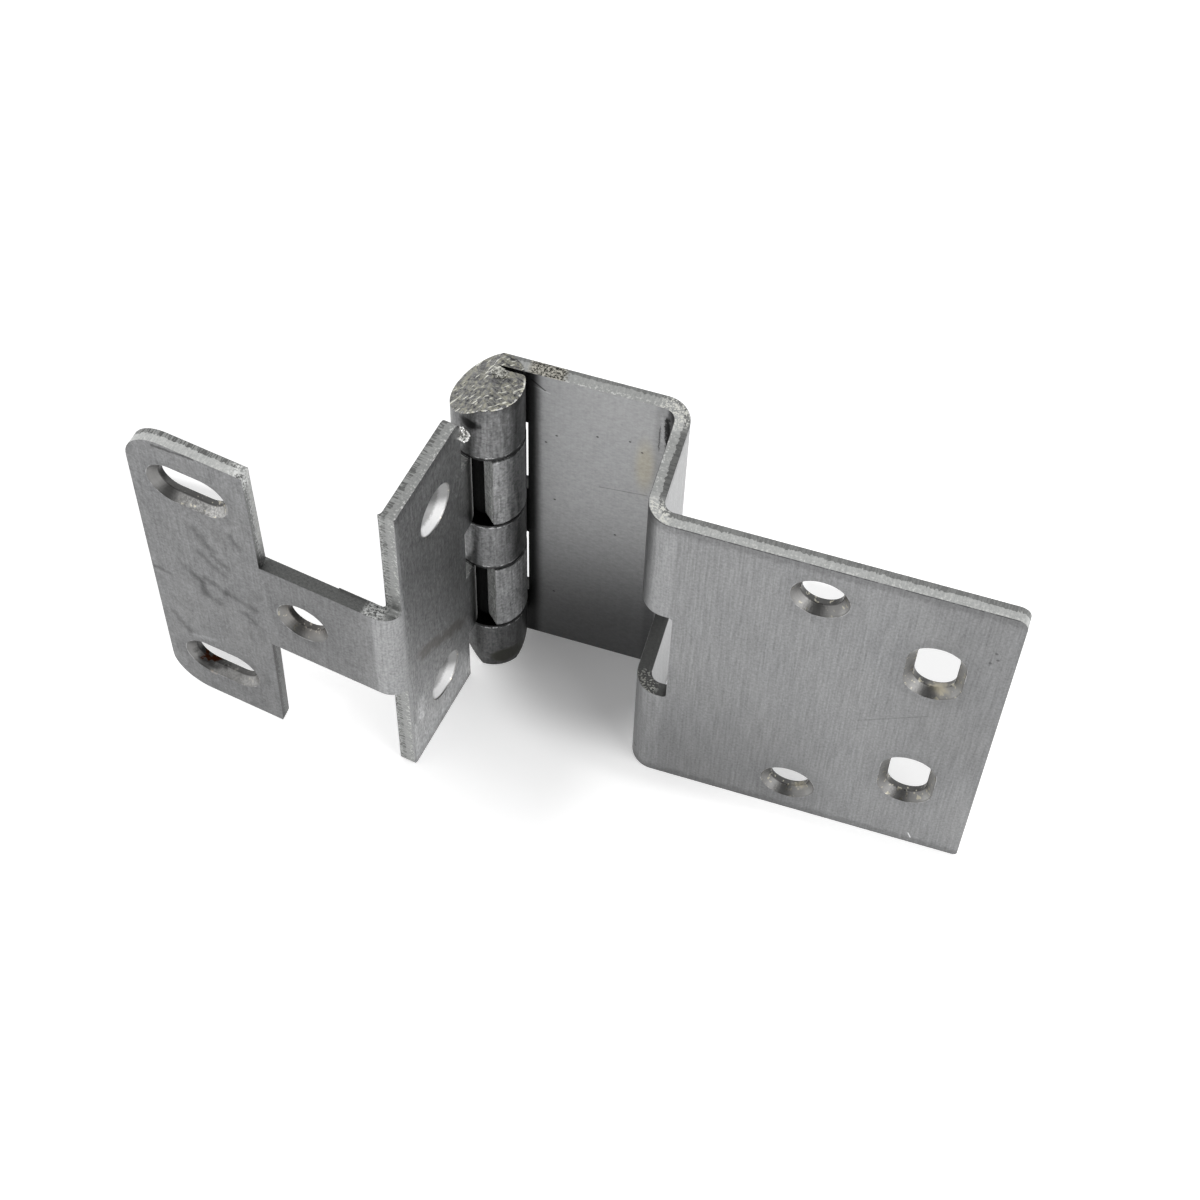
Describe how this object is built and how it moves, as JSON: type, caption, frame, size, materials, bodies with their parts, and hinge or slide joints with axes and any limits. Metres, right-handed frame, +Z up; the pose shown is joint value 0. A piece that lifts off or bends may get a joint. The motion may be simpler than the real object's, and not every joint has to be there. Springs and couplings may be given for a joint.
{
  "type": "institutional hinge",
  "caption": "Folded steel cabinet hinge: an offset leaf for the door, a T-shaped leaf for the frame, and a barrel with sloped ends on a fixed pin.",
  "frame": {"origin": "on the pin's axis at the foot of the barrel", "axes": "+Z up along the pin; +X along the door leaf's plates, away from the barrel; the screw heads face -Y"},
  "size_m": [0.1285, 0.0342, 0.0698],
  "materials": {
    "door_leaf": "worn, brushed",
    "frame_leaf": "worn, brushed",
    "hinge_pin": "worn, brushed"
  },
  "bodies": {
    "door_side": {"door_leaf": "door_leaf", "hinge_pin": "hinge_pin"},
    "frame_side": {"frame_leaf": "frame_leaf"}
  },
  "joints": [
    {"name": "hinge_swing", "type": "hinge", "parent": "door_side", "child": "frame_side", "pos_m": [0, 0, 0], "axis": [0, 0, 1], "range_deg": [-171.2, 98.8]}
  ]
}
